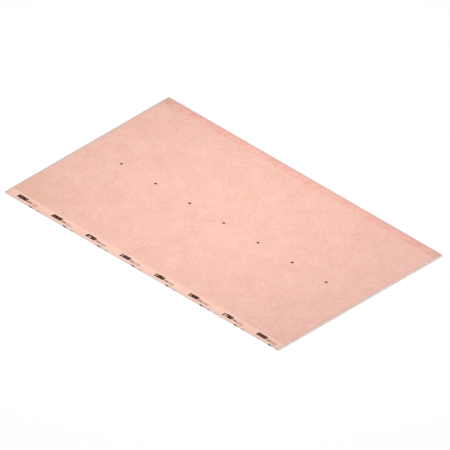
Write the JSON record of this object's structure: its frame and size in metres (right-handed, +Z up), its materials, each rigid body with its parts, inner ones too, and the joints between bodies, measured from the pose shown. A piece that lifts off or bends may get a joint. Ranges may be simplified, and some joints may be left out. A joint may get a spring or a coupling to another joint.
{
  "type": "drywall sheet",
  "caption": "Flat plasterboard sheet for lining walls and ceilings, with a pale gypsum core wrapped in pink face paper, tapered long edges and square-cut ends.",
  "frame": {"origin": "middle of the underside, on the backing paper", "axes": "+X along the sheet from one cut end to the other, +Y across it to the long edge away from the printed one, +Z up through the thickness, out of the pink face"},
  "size_m": [2, 1.2, 0.0125],
  "materials": {
    "gypsum": "matte",
    "pink_paper": "matte",
    "backing_paper": "matte",
    "ink": "matte"
  },
  "bodies": {
    "root": {"gypsum_core": "gypsum", "face_paper": "pink_paper", "back_paper": "backing_paper"}
  },
  "joints": []
}
